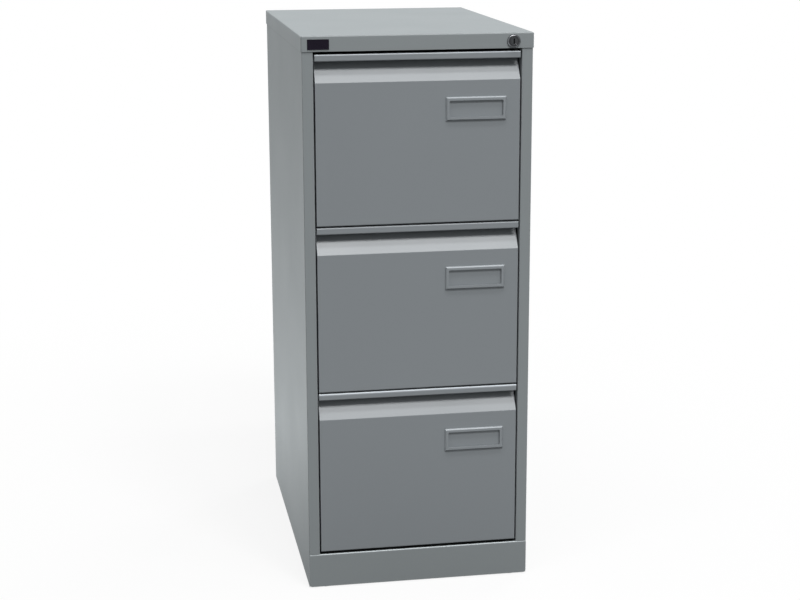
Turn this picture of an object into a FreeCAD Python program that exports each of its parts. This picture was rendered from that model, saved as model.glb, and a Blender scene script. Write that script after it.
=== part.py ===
import FreeCAD, Part
import operator
import os

import Sketcher

# A three-drawer vertical filing cabinet in folded sheet steel, with ball runners and a cylinder lock.
# Millimetres. +X is to the right, +Y to the back and +Z up.
# The origin is on the floor, under the middle of the case.

DRAWERS = 3
BALLS_PER_ROW = 4
NUT_SIDES = 6
# Degrees. The crank stands this far past +X, about +Y, while the drawers are free.
FREE_ANGLE = 135
FULL_TURN = 360
# How far the middle of a quarter circle stays inside the corner it rounds, along each side.
ARC_MIDDLE = 1 - 0.5 ** 0.5
TINY = 1e-4

SIZES = {
    # case
    "cap_width": 413,
    "cap_depth": 622,
    "cabinet_height": 1016,
    "case_sheet": 0.9,
    "bend": 2,
    "edge_round": 0.7,
    "cap_skirt": 27,
    "cap_fit": 0.5,
    "cap_corner": 3,
    "stile_width": 20,
    "stile_return": 20,
    "back_flange": 18,
    "plinth_height": 65,
    "plinth_flange": 25,
    "plinth_corner": 5,
    "foot_flange": 30,
    "base_flange": 15,
    "seam": 0.3,
    # floor glides
    "glide_height": 2,
    "glide_radius": 12,
    "glide_inset": 30,
    "stem_radius": 3,
    "stem_length": 5,
    "stem_fit": 0.2,
    # drawer fronts
    "top_gap": 5.3,
    "drawer_gap": 2.8,
    "bottom_gap": 5,
    "side_gap": 2.5,
    "front_sheet": 0.9,
    "front_depth": 20,
    "lip_height": 12.1,
    "lip_return": 5,
    "grip_depth": 22,
    "grip_drop": 49.3,
    "grip_back": 14.4,
    "liner_fit": 0.2,
    # card holders
    "card_width": 108,
    "card_height": 41.6,
    "card_proud": 4.2,
    "card_bevel": 2.0,
    "card_inset": 25.6,
    "card_drop": 99.1,
    "card_side_bar": 5.6,
    "card_cross_bar": 6.2,
    "card_slot": 1.0,
    "card_margin": 2.5,
    "window_corner": 2.5,
    "stud_radius": 1.5,
    "stud_length": 5,
    "stud_inset": 14,
    "stud_fit": 0.2,
    # drawer trays
    "tray_sheet": 0.8,
    "tray_lift": 8,
    "tray_drop": 50,
    "hem_width": 5,
    "hem_drop": 9,
    "tray_flange": 12,
    "rear_room": 27,
    "tray_back_drop": 60,
    "tray_back_flange": 15,
    # runners
    "runner_room": 17,
    "runner_height": 45.7,
    "runner_depth": 12.7,
    "runner_setback": 10,
    "runner_drop": 62,
    "rail_sheet": 1.2,
    "rail_mouth": 2.5,
    "outer_ball": 2.3,
    "inner_ball": 1.9,
    "race_fit": 0.15,
    "cage_sheet": 0.6,
    "cage_fit": 0.35,
    "cage_length": 240,
    "cage_end": 20,
    "cage_lip": 1.0,
    "tang_width": 14,
    "tang_height": 5,
    "tang_length": 3.2,
    "tang_fit": 0.3,
    # uprights
    "upright_width": 40,
    "upright_sheet": 1.2,
    "upright_inset": 35,
    "upright_headroom": 6,
    # lock cylinder
    "lock_radius": 12,
    "lock_proud": 4,
    "lock_bevel": 2.2,
    "lock_body": 9.5,
    "lock_length": 17,
    "lock_fit": 0.2,
    "lock_clearance": 1.8,
    "lock_inset": 3.6,
    "nut_wall": 2.5,
    "nut_thickness": 3,
    "nut_fit": 0.1,
    "plug_radius": 8,
    "plug_fit": 0.08,
    "plug_recess": 0.6,
    "key_width": 2.4,
    "key_height": 9,
    "key_depth": 13,
    "tail_radius": 4,
    "tail_fit": 0.05,
    "cam_gap": 0.5,
    "cam_sheet": 2,
    "cam_hub": 6.5,
    "cam_end": 4,
    "crank": 7,
    "pin_radius": 2,
    "pin_fit": 0.4,
    "pin_reach": 1,
    "screw_radius": 1.6,
    "screw_length": 8,
    "screw_head": 4,
    "screw_head_height": 1.4,
    # lock bar, hooks and catches
    "bar_gap": 4,
    "bar_width": 12,
    "bar_sheet": 2,
    "bar_tail": 30,
    "arm_margin": 3.5,
    "guide_fit": 0.3,
    "guide_wall": 2,
    "guide_height": 20,
    "guide_drop": 60,
    "hook_sheet": 2,
    "hook_height": 10,
    "hook_clear": 2,
    "hook_bite": 6,
    "catch_gap": 1,
    "catch_sheet": 1.5,
    "catch_reach": 11,
    "catch_height": 12,
    "catch_foot": 20,
    "catch_drop": 55,
}

doc = FreeCAD.newDocument("FilingCabinet")
sheet = doc.addObject("Spreadsheet::Sheet", "Sizes")
for row, (alias, number) in enumerate(SIZES.items(), 1):
    sheet.set(f"A{row}", alias)
    sheet.set(f"B{row}", str(number))
    sheet.setAlias(f"B{row}", alias)
doc.recompute()


class Size:
    """A length, held both as its value and as the sheet formula that gives it."""

    SIGNS = {"+": operator.add, "-": operator.sub, "*": operator.mul, "/": operator.truediv}

    def __init__(self, formula, value):
        self.formula = formula
        self.value = value

    @classmethod
    def of(cls, thing):
        return thing if isinstance(thing, cls) else cls(str(float(thing)), float(thing))

    @classmethod
    def joined(cls, left, sign, right):
        left = cls.of(left)
        right = cls.of(right)
        value = cls.SIGNS[sign](left.value, right.value)
        return cls(f"({left.formula} {sign} {right.formula})", value)

    def __add__(self, other):
        return Size.joined(self, "+", other)

    def __radd__(self, other):
        return Size.joined(other, "+", self)

    def __sub__(self, other):
        return Size.joined(self, "-", other)

    def __rsub__(self, other):
        return Size.joined(other, "-", self)

    def __mul__(self, other):
        return Size.joined(self, "*", other)

    def __rmul__(self, other):
        return Size.joined(other, "*", self)

    def __truediv__(self, other):
        return Size.joined(self, "/", other)

    def __neg__(self):
        return Size.joined(-1, "*", self)

    def root(self):
        return Size(f"sqrt({self.formula})", self.value ** 0.5)


class Sheet:
    """The driving dimensions, each one a Size under its own name."""

    def __init__(self, owner, names):
        for name in names:
            setattr(self, name, Size(f"{owner.Name}.{name}", float(owner.get(name))))


s = Sheet(sheet, SIZES)
nodes = []

# Each origin plane, with the direction that a sketch on it faces.
PLANES = {"z": ("XY_Plane", 1), "y": ("XZ_Plane", -1), "x": ("YZ_Plane", 1)}


def bind(thing, **formulas):
    """Tie properties to the sheet; a double underscore in a name stands for a dot."""
    for name, size in formulas.items():
        thing.setExpression(name.replace("__", "."), Size.of(size).formula)


def keep(thing, label):
    """Name a finished sub-part, which is then written to a file of that name."""
    thing.Label = label
    nodes.append(thing)
    return thing


def new_body(name):
    return doc.addObject("PartDesign::Body", name)


def origin_feature(body, role):
    return next(part for part in body.Origin.OriginFeatures if part.Role == role)


def new_sketch(body, normal, level):
    """An empty sketch across one axis, at a level along that axis."""
    role, facing = PLANES[normal]
    sketch = body.newObject("Sketcher::SketchObject", f"{body.Name}_sketch")
    sketch.AttachmentSupport = [(origin_feature(body, role), "")]
    sketch.MapMode = "FlatFace"
    bind(sketch, AttachmentOffset__Base__z=level * facing)
    return sketch


def pin(sketch, geometry, place, target):
    """Hold one point of a sketch at its two distances from the sketch's origin."""
    for kind, size in zip(("DistanceX", "DistanceY"), target):
        size = Size.of(size)
        number = sketch.addConstraint(Sketcher.Constraint(kind, -1, 1, geometry, place, size.value))
        sketch.setExpression(f"Constraints[{number}]", size.formula)


def draw_outline(sketch, corners):
    """A closed outline of straight lines through the corners."""
    points = [FreeCAD.Vector(Size.of(u).value, Size.of(v).value, 0) for u, v in corners]
    count = len(points)
    for index in range(count):
        sketch.addGeometry(Part.LineSegment(points[index], points[(index + 1) % count]))
    for index in range(count):
        sketch.addConstraint(Sketcher.Constraint("Coincident", index, 2, (index + 1) % count, 1))
    for index, corner in enumerate(corners):
        pin(sketch, index, 1, corner)


def draw_circle(sketch, centre, radius):
    point = FreeCAD.Vector(Size.of(centre[0]).value, Size.of(centre[1]).value, 0)
    number = sketch.addGeometry(Part.Circle(point, FreeCAD.Vector(0, 0, 1), radius.value))
    pin(sketch, number, 3, centre)
    limit = sketch.addConstraint(Sketcher.Constraint("Radius", number, radius.value))
    sketch.setExpression(f"Constraints[{limit}]", radius.formula)


def box_corners(u, v):
    return [(u[0], v[0]), (u[1], v[0]), (u[1], v[1]), (u[0], v[1])]


def pad(body, normal, corners, span):
    """Add the outline, carried from span[0] to span[1] along the normal axis."""
    start = span[0] if PLANES[normal][1] > 0 else span[1]
    sketch = new_sketch(body, normal, start)
    draw_outline(sketch, corners)
    feature = body.newObject("PartDesign::Pad", f"{body.Name}_pad")
    feature.Profile = sketch
    bind(feature, Length=span[1] - span[0])
    doc.recompute()
    return feature


def cut_profile(body, normal, span, draw, *shape):
    """Take away a profile, carried from span[0] to span[1] along the normal axis."""
    before = body.Shape.Volume
    start = span[1] if PLANES[normal][1] > 0 else span[0]
    sketch = new_sketch(body, normal, start)
    draw(sketch, *shape)
    feature = body.newObject("PartDesign::Pocket", f"{body.Name}_pocket")
    feature.Profile = sketch
    bind(feature, Length=span[1] - span[0])
    doc.recompute()
    if body.Shape.Volume > before - TINY:
        raise RuntimeError(f"a pocket in {body.Name} cuts nothing")
    return feature


def pocket(body, normal, corners, span):
    return cut_profile(body, normal, span, draw_outline, corners)


def drill(body, normal, centre, radius, span):
    return cut_profile(body, normal, span, draw_circle, centre, radius)


def edges_along(shape, axis, **places):
    """Names of the straight edges along an axis that lie at the given places."""
    names = []
    for number, edge in enumerate(shape.Edges, 1):
        box = edge.BoundBox
        spans = {"x": (box.XMin, box.XMax), "y": (box.YMin, box.YMax), "z": (box.ZMin, box.ZMax)}
        straight = all(high - low < TINY for letter, (low, high) in spans.items() if letter != axis)
        near = all(abs(spans[letter][0] - place.value) < TINY for letter, place in places.items())
        if straight and near:
            names.append(f"Edge{number}")
    return names


def round_edges(body, radius, names):
    base = body.Tip
    feature = body.newObject("PartDesign::Fillet", f"{body.Name}_round")
    feature.Base = (base, names)
    bind(feature, Radius=radius)
    doc.recompute()
    return feature


def block(name, x, y, z):
    """A rectangular block between pairs of places."""
    solid = doc.addObject("Part::Box", name)
    bind(solid, Length=x[1] - x[0], Width=y[1] - y[0], Height=z[1] - z[0])
    bind(solid, Placement__Base__x=x[0], Placement__Base__y=y[0], Placement__Base__z=z[0])
    return solid


def rod(name, axis, radius, centre, span):
    """A round bar along an axis; centre gives its other two places in x, y, z order."""
    turns = {
        "x": FreeCAD.Rotation(FreeCAD.Vector(0, 1, 0), 90),
        "y": FreeCAD.Rotation(FreeCAD.Vector(1, 0, 0), -90),
        "z": FreeCAD.Rotation(),
    }
    places = list(centre)
    places.insert("xyz".index(axis), span[0])
    solid = doc.addObject("Part::Cylinder", name)
    solid.Placement.Rotation = turns[axis]
    bind(solid, Radius=radius, Height=span[1] - span[0])
    bind(solid, Placement__Base__x=places[0], Placement__Base__y=places[1], Placement__Base__z=places[2])
    return solid


def joined(name, pieces):
    solid = doc.addObject("Part::MultiFuse", name)
    solid.Shapes = pieces
    solid.Refine = True
    return solid


def less(name, base, tool):
    solid = doc.addObject("Part::Cut", name)
    solid.Base = base
    solid.Tool = tool
    solid.Refine = True
    return solid


def group(name, pieces):
    solid = doc.addObject("Part::Compound", name)
    solid.Links = pieces
    return solid


def mirrored(corners, side):
    """Corners of an outline for the right side, or its mirror image for the left side."""
    return [(side * u, v) for u, v in corners]


SIDES = {"left": -1, "right": 1}

# Case: the cap laps over the panels, so the body is smaller by its sheet and its fit.
cap_front = -s.cap_depth / 2
cap_bottom = s.cabinet_height - s.cap_skirt
body_x = s.cap_width / 2 - s.case_sheet - s.cap_fit
body_back = s.cap_depth / 2 - s.case_sheet - s.cap_fit
body_front = -body_back
body_top = s.cabinet_height - s.case_sheet
inner_x = body_x - s.case_sheet
stile_x = body_x - s.stile_width
return_back = body_front + s.stile_return
back_face = body_back - 2 * s.case_sheet
base_top = s.plinth_height - s.case_sheet
glide_x = inner_x - s.glide_inset
front_glide_y = body_front + s.case_sheet + s.foot_flange / 2
rear_glide_y = back_face - s.foot_flange / 2

# Drawer fronts share the height between the cap and the plinth.
fronts_top = cap_bottom - s.top_gap
fronts_height = fronts_top - s.plinth_height - s.bottom_gap
front_height = (fronts_height - (DRAWERS - 1) * s.drawer_gap) / DRAWERS
pitch = front_height + s.drawer_gap
front_x = stile_x - s.side_gap
liner_back = body_front + s.front_depth
card_right = front_x - s.card_inset
card_left = card_right - s.card_width

# Trays and runners pass between the stiles.
tray_x = stile_x - s.runner_room
tray_back = back_face - s.rear_room
runner_front = liner_back + s.runner_setback
runner_back = tray_back - s.runner_setback
runner_x = tray_x + s.runner_depth

# Places across a runner, out from the tray's side.
outer_web = s.runner_depth - s.rail_sheet
outer_cage_web = outer_web - s.cage_fit - s.cage_sheet
middle_web = outer_cage_web - s.cage_fit - s.rail_sheet
inner_cage_web = middle_web - s.cage_fit - s.cage_sheet
inner_rim = inner_cage_web - s.cage_fit
outer_ball_x = (s.rail_mouth + middle_web) / 2
inner_ball_x = (s.rail_mouth + inner_rim) / 2

# Places up a runner, from its middle line.
outer_half = s.runner_height / 2
outer_ball_z = outer_half - s.rail_sheet - s.race_fit - s.outer_ball
middle_half = outer_ball_z - s.outer_ball - s.race_fit
inner_ball_z = middle_half - s.rail_sheet - s.race_fit - s.inner_ball
inner_half = inner_ball_z - s.inner_ball - s.race_fit

# Lock: its nut stands clear of the stile and the cap, and its crank lifts the bar by two equal steps.
nut_radius = s.lock_body + s.nut_wall
lock_x = stile_x - s.lock_inset - nut_radius
lock_z = body_top - s.lock_clearance - nut_radius
lock_back = cap_front + s.lock_length
cam_front = lock_back + s.cam_gap
cam_back = cam_front + s.cam_sheet
crank_step = s.crank / Size.of(2).root()
bar_front = return_back + s.bar_gap
bar_back = bar_front + s.bar_sheet
bar_left = (stile_x + inner_x - s.bar_width) / 2
bar_right = bar_left + s.bar_width
hook_back = bar_back + s.hook_sheet
catch_front = hook_back + s.catch_gap


def drawer_top(number):
    return fronts_top - (number - 1) * pitch


def tray_bottom(number):
    return drawer_top(number) - front_height + s.tray_lift


def catch_z(number):
    return drawer_top(number) - s.tray_drop - s.catch_drop


def runner_z(number):
    return catch_z(number) - s.runner_drop - outer_half


def hook_top(number):
    return catch_z(number) - s.hook_clear


def guide_top(number):
    return hook_top(number) - s.guide_drop


def make_top_panel():
    """A cap with a skirt on all four sides and a hole for the lock in the front skirt."""
    body = new_body("TopPanel")
    half_width = s.cap_width / 2
    half_depth = s.cap_depth / 2
    outline = box_corners((-half_width, half_width), (-half_depth, half_depth))
    first = pad(body, "z", outline, (cap_bottom, s.cabinet_height))
    corners = []
    for x in (-half_width, half_width):
        for y in (-half_depth, half_depth):
            corners += edges_along(first.Shape, "z", x=x, y=y)
    round_edges(body, s.cap_corner, corners)
    rim = [f"Edge{number}" for number, edge in enumerate(body.Tip.Shape.Edges, 1)
           if edge.BoundBox.ZMin > s.cabinet_height.value - TINY]
    round_edges(body, s.bend, rim)
    inner_width = half_width - s.case_sheet
    inner_depth = half_depth - s.case_sheet
    # The hollow's corners are cut off, so that the sheet stays whole behind the rounded corners.
    right = [
        (inner_width - s.bend, -inner_depth),
        (inner_width, s.bend - inner_depth),
        (inner_width, inner_depth - s.bend),
        (inner_width - s.bend, inner_depth),
    ]
    pocket(body, "z", right + mirrored(right[::-1], -1), (cap_bottom, body_top))
    drill(body, "y", (lock_x, lock_z), s.lock_body + s.lock_fit, (cap_front, cap_front + s.case_sheet))
    keep(body, "top_panel")


def make_side_panel(name, side):
    """One sheet: the side, the stile and its return at the front, and a flange at the back."""
    body = new_body(f"{name.title()}SidePanel")
    outline = [
        (stile_x, body_front),
        (body_x, body_front),
        (body_x, body_back),
        (body_x - s.back_flange, body_back),
        (body_x - s.back_flange, body_back - s.case_sheet),
        (inner_x, body_back - s.case_sheet),
        (inner_x, body_front + s.case_sheet),
        (stile_x + s.case_sheet, body_front + s.case_sheet),
        (stile_x + s.case_sheet, return_back),
        (stile_x, return_back),
    ]
    panel = pad(body, "z", mirrored(outline, side), (s.glide_height, body_top))
    bends = []
    for x, y in ((stile_x, body_front), (body_x, body_front), (body_x, body_back)):
        bends += edges_along(panel.Shape, "z", x=side * x, y=y)
    round_edges(body, s.bend, bends)
    # Below the stile, the plinth takes the place of the front edge.
    face_back = body_front + s.case_sheet + s.seam
    notch = [
        (stile_x - s.seam, body_front - s.seam),
        (body_x + s.seam, body_front - s.seam),
        (body_x + s.seam, face_back),
        (inner_x, face_back),
        (inner_x, return_back + s.seam),
        (stile_x - s.seam, return_back + s.seam),
    ]
    pocket(body, "z", mirrored(notch, side), (s.glide_height, s.plinth_height + s.seam))
    keep(body, f"{name}_side_panel")


def make_back_panel():
    """A flat sheet behind the uprights, folded forward at the bottom to carry the rear glides."""
    body = new_body("BackPanel")
    back = body_back - s.case_sheet
    fold = back_face - s.foot_flange
    outline = [
        (back, s.glide_height),
        (back, body_top),
        (back_face, body_top),
        (back_face, s.glide_height + s.case_sheet),
        (fold, s.glide_height + s.case_sheet),
        (fold, s.glide_height),
    ]
    pad(body, "x", outline, (-inner_x, inner_x))
    drill_stem_holes(body, rear_glide_y)
    keep(body, "back_panel")


def make_base_panel():
    """A sheet that laps under the plinth's flange, with a flange down each side."""
    body = new_body("BasePanel")
    under = base_top - s.case_sheet
    lowest = base_top - s.base_flange
    edge = inner_x - s.case_sheet
    outline = [
        (-inner_x, lowest),
        (-inner_x, base_top),
        (inner_x, base_top),
        (inner_x, lowest),
        (edge, lowest),
        (edge, under),
        (-edge, under),
        (-edge, lowest),
    ]
    pad(body, "y", outline, (body_front + s.case_sheet, back_face))
    keep(body, "base_panel")


def make_plinth():
    """A face across the whole front, with a flange back at its top and at its foot."""
    body = new_body("Plinth")
    # The bend at the top stops short of both ends, where the side panels come forward.
    shoulder = s.plinth_height - s.bend - s.seam
    face = box_corners((-body_x, body_x), (s.glide_height, shoulder))
    first = pad(body, "y", face, (body_front, body_front + s.case_sheet))
    lower = []
    for x in (-body_x, body_x):
        lower += edges_along(first.Shape, "y", x=x, z=s.glide_height)
    round_edges(body, s.plinth_corner, lower)
    flange_back = body_front + s.plinth_flange
    face_back = body_front + s.case_sheet
    top_flange = [
        (body_front, shoulder),
        (body_front, s.plinth_height),
        (flange_back, s.plinth_height),
        (flange_back, base_top),
        (face_back, base_top),
        (face_back, shoulder),
    ]
    pad(body, "x", top_flange, (-inner_x, inner_x))
    top_edge = edges_along(body.Shape, "x", y=body_front, z=s.plinth_height)
    round_edges(body, s.bend, top_edge)
    foot_x = body_x - s.plinth_corner
    foot_back = face_back + s.foot_flange
    foot = box_corners((body_front, foot_back), (s.glide_height, s.glide_height + s.case_sheet))
    pad(body, "x", foot, (-foot_x, foot_x))
    drill_stem_holes(body, front_glide_y)
    keep(body, "plinth")


def drill_stem_holes(body, y):
    """A hole through a foot flange for the glide at each side."""
    span = (s.glide_height, s.glide_height + s.case_sheet)
    for x in (-glide_x, glide_x):
        drill(body, "z", (x, y), s.stem_radius + s.stem_fit, span)


def make_floor_glides():
    """Four plastic discs, each with a stem pushed up through a foot flange."""
    glides = []
    for x in (-glide_x, glide_x):
        for y in (front_glide_y, rear_glide_y):
            number = len(glides) + 1
            disc = rod(f"GlideDisc{number}", "z", s.glide_radius, (x, y), (Size.of(0), s.glide_height))
            stem_top = s.glide_height + s.stem_length
            stem = rod(f"GlideStem{number}", "z", s.stem_radius, (x, y), (s.glide_height, stem_top))
            glides.append(joined(f"Glide{number}", [disc, stem]))
    keep(group("FloorGlides", glides), "floor_glides")


def tang_y():
    """Middle lines of the front and the rear uprights, where the rails hook in."""
    return {"front": runner_front + s.upright_inset, "rear": runner_back - s.upright_inset}


def make_upright(name, side, middle):
    """A channel that stands on the base panel, open to the side panel, slotted for the rails."""
    body = new_body(name)
    front = middle - s.upright_width / 2
    back = middle + s.upright_width / 2
    web = runner_x + s.upright_sheet
    outline = [
        (runner_x, front),
        (inner_x, front),
        (inner_x, front + s.upright_sheet),
        (web, front + s.upright_sheet),
        (web, back - s.upright_sheet),
        (inner_x, back - s.upright_sheet),
        (inner_x, back),
        (runner_x, back),
    ]
    pad(body, "z", mirrored(outline, side), (base_top, body_top - s.upright_headroom))
    half_width = s.tang_width / 2 + s.tang_fit
    half_height = s.tang_height / 2 + s.tang_fit
    across = (middle - half_width, middle + half_width)
    span = (runner_x, web) if side > 0 else (-web, -runner_x)
    for number in range(1, DRAWERS + 1):
        level = runner_z(number)
        slot = box_corners(across, (level - half_height, level + half_height))
        pocket(body, "x", slot, span)
    return body


def make_uprights():
    for end, middle in tang_y().items():
        pair = []
        for name, side in SIDES.items():
            pair.append(make_upright(f"{end.title()}Upright{name.title()}", side, middle))
        keep(group(f"{end.title()}Uprights", pair), f"{end}_uprights")


def runner_outline(side, level, corners):
    """An outline whose corners are given out from the tray's side and up from the runner's middle."""
    return [(side * (tray_x + u), level + v) for u, v in corners]


def rail(name, side, level, corners):
    """A rail along the whole length of a runner."""
    body = new_body(name)
    pad(body, "y", runner_outline(side, level, corners), (runner_front, runner_back))
    return body


def channel(mouth, web, rim, half):
    """A channel section: its web lies between web and rim, and its flanges end at the mouth."""
    inside = half - s.rail_sheet
    return [
        (mouth, -half),
        (rim, -half),
        (rim, half),
        (mouth, half),
        (mouth, inside),
        (web, inside),
        (web, -inside),
        (mouth, -inside),
    ]


def make_rails(number):
    level = runner_z(number)
    for name, side in SIDES.items():
        outer_shape = channel(s.rail_mouth, outer_web, s.runner_depth, outer_half)
        outer = rail(f"Outer{number}{name}", side, level, outer_shape)
        for middle in tang_y().values():
            reach = (runner_x, runner_x + s.tang_length)
            span = reach if side > 0 else (-reach[1], -reach[0])
            tang = box_corners(
                (middle - s.tang_width / 2, middle + s.tang_width / 2),
                (level - s.tang_height / 2, level + s.tang_height / 2),
            )
            pad(outer, "x", tang, span)
        keep(outer, f"runner_{number}_{name}_outer_rail")
        middle_shape = channel(s.rail_mouth, middle_web, middle_web + s.rail_sheet, middle_half)
        middle_rail = rail(f"Middle{number}{name}", side, level, middle_shape)
        keep(middle_rail, f"runner_{number}_{name}_middle_rail")
        inner_shape = channel(inner_rim, s.rail_sheet, Size.of(0), inner_half)
        inner_rail = rail(f"Inner{number}{name}", side, level, inner_shape)
        keep(inner_rail, f"drawer_{number}_{name}_inner_rail")


def ball_places_y():
    """Evenly spaced places of the balls along a cage."""
    middle = (runner_front + runner_back) / 2
    first = middle - s.cage_length / 2 + s.cage_end
    step = (s.cage_length - 2 * s.cage_end) / (BALLS_PER_ROW - 1)
    return [first + index * step for index in range(BALLS_PER_ROW)]


def make_cage(name, side, level, web, ball_x, ball_z, ball):
    """A bent strip between two rails, and the balls in its two rows of holes."""
    body = new_body(name)
    middle = (runner_front + runner_back) / 2
    low = ball_z - s.cage_sheet / 2
    high = ball_z + s.cage_sheet / 2
    rim = web + s.cage_sheet
    tip = ball_x - ball - s.cage_lip
    corners = box_corners((tip, rim), (-high, high)) + box_corners((tip, web), (low, -low))
    outline = runner_outline(side, level, corners)
    pad(body, "y", outline, (middle - s.cage_length / 2, middle + s.cage_length / 2))
    pieces = [body]
    x = side * (tray_x + ball_x)
    for y in ball_places_y():
        drill(body, "z", (x, y), ball + s.cage_fit / 2, (level - high, level + high))
        for z in (level - ball_z, level + ball_z):
            sphere = doc.addObject("Part::Sphere", f"{name}Ball")
            bind(sphere, Radius=ball)
            bind(sphere, Placement__Base__x=x, Placement__Base__y=y, Placement__Base__z=z)
            pieces.append(sphere)
    return pieces


def make_cages(number):
    level = runner_z(number)
    kinds = {
        "outer": (outer_cage_web, outer_ball_x, outer_ball_z, s.outer_ball),
        "inner": (inner_cage_web, inner_ball_x, inner_ball_z, s.inner_ball),
    }
    for kind, places in kinds.items():
        pieces = []
        for name, side in SIDES.items():
            pieces += make_cage(f"{kind.title()}Cage{number}{name}", side, level, *places)
        keep(group(f"{kind.title()}Cages{number}", pieces), f"runner_{number}_{kind}_ball_cages")


def grip_line(depth):
    """Height of the grip's slope, measured from the top of the front, at a depth behind the face."""
    return (s.grip_drop - s.grip_back) / s.grip_depth * depth - s.grip_drop


def grip_thickness():
    """Upright thickness of the sloping sheet."""
    rise = s.grip_drop - s.grip_back
    length = (rise * rise + s.grip_depth * s.grip_depth).root()
    return s.front_sheet * length / s.grip_depth


def card_middle(number):
    return drawer_top(number) - s.card_drop


def stud_places(number):
    """Two places along the middle of what is solid of the card holder's lower bar."""
    level = card_middle(number) - s.card_height / 2 + (s.card_cross_bar - s.card_margin) / 2
    return [(card_left + s.stud_inset, level), (card_right - s.stud_inset, level)]


def make_drawer_front(number):
    """One sheet folded into a pan below, a slope, a back wall, a ceiling and a lip above."""
    body = new_body(f"DrawerFront{number}")
    top = drawer_top(number)
    bottom = top - front_height
    wall = s.grip_depth + s.front_sheet
    under = grip_thickness()
    section = [
        (0, bottom),
        (0, top - s.grip_drop),
        (s.grip_depth, top - s.grip_back),
        (s.grip_depth, top - s.front_sheet),
        (s.front_sheet, top - s.front_sheet),
        (s.front_sheet, top - s.lip_height + s.front_sheet),
        (s.lip_return, top - s.lip_height + s.front_sheet),
        (s.lip_return, top - s.lip_height),
        (0, top - s.lip_height),
        (0, top),
        (wall, top),
        (wall, top + grip_line(wall) - under),
        (s.front_depth, top + grip_line(s.front_depth) - under),
        (s.front_depth, bottom),
    ]
    solid = pad(body, "x", [(body_front + u, v) for u, v in section], (-front_x, front_x))
    bends = []
    for level in (bottom, top - s.grip_drop, top - s.lip_height, top):
        bends += edges_along(solid.Shape, "x", y=body_front, z=level)
    round_edges(body, s.bend, bends)
    round_edges(body, s.edge_round, front_side_edges(body.Tip.Shape, top))
    pan = [
        (s.front_sheet, bottom + s.front_sheet),
        (s.front_sheet, top + grip_line(s.front_sheet) - under),
        (s.front_depth, top + grip_line(s.front_depth) - under),
        (s.front_depth, bottom + s.front_sheet),
    ]
    inside = front_x - s.front_sheet
    pocket(body, "x", [(body_front + u, v) for u, v in pan], (-inside, inside))
    for place in stud_places(number):
        drill(body, "y", place, s.stud_radius + s.stud_fit, (body_front, body_front + s.front_sheet))
    keep(body, f"drawer_{number}_front")


def front_side_edges(shape, top):
    """Edges at both ends of a drawer front, round the face and up the slope of the grip."""
    names = []
    slope_top = top - s.grip_back
    for number, edge in enumerate(shape.Edges, 1):
        box = edge.BoundBox
        at_end = box.XLength < TINY and abs(abs(box.XMin) - front_x.value) < TINY
        on_face = at_end and box.YMin < (body_front + s.bend).value and box.ZMax < slope_top.value + TINY
        if on_face and box.YMax - box.YMin < s.grip_depth.value and box.ZLength > TINY:
            names.append(f"Edge{number}")
    return names


def make_liner(number):
    """A flat sheet that closes the back of the drawer front's pan."""
    top = drawer_top(number)
    front = liner_back - s.front_sheet
    half = front_x - s.front_sheet - s.liner_fit
    low = top - front_height + s.front_sheet + s.liner_fit
    high = top + grip_line(s.front_depth - s.front_sheet) - grip_thickness() - s.liner_fit
    liner = block(f"Liner{number}", (-half, half), (front, liner_back), (low, high))
    keep(liner, f"drawer_{number}_liner")


def make_tray(number):
    """One sheet: floor, sides and a hem along the top of each side that carries suspension files."""
    body = new_body(f"Tray{number}")
    low = tray_bottom(number)
    high = drawer_top(number) - s.tray_drop
    floor = low + s.tray_sheet
    inside = tray_x - s.tray_sheet
    hem = tray_x + s.hem_width
    right = [
        (inside, floor),
        (inside, high),
        (hem, high),
        (hem, high - s.hem_drop),
        (hem - s.tray_sheet, high - s.hem_drop),
        (hem - s.tray_sheet, high - s.tray_sheet),
        (tray_x, high - s.tray_sheet),
        (tray_x, low),
    ]
    outline = right + mirrored(right[::-1], -1)
    pad(body, "y", outline, (liner_back, tray_back))
    for side in SIDES.values():
        ends = (tray_x, tray_x + s.tray_flange)
        ends = ends if side > 0 else (-ends[1], -ends[0])
        flange = box_corners(ends, (low, high - s.hem_drop))
        pad(body, "y", flange, (liner_back, liner_back + s.tray_sheet))
    keep(body, f"drawer_{number}_tray")


def make_tray_back(number):
    """A sheet across the back of the tray, with a flange forward along each side."""
    body = new_body(f"TrayBack{number}")
    outside = tray_x - s.tray_sheet
    inside = outside - s.tray_sheet
    front = tray_back - s.tray_back_flange
    face = tray_back - s.tray_sheet
    right = [(inside, face), (inside, front), (outside, front), (outside, tray_back)]
    outline = right + mirrored(right[::-1], -1)
    low = tray_bottom(number) + s.tray_sheet
    high = drawer_top(number) - s.tray_drop - s.tray_back_drop
    pad(body, "z", outline, (low, high))
    keep(body, f"drawer_{number}_back")


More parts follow.
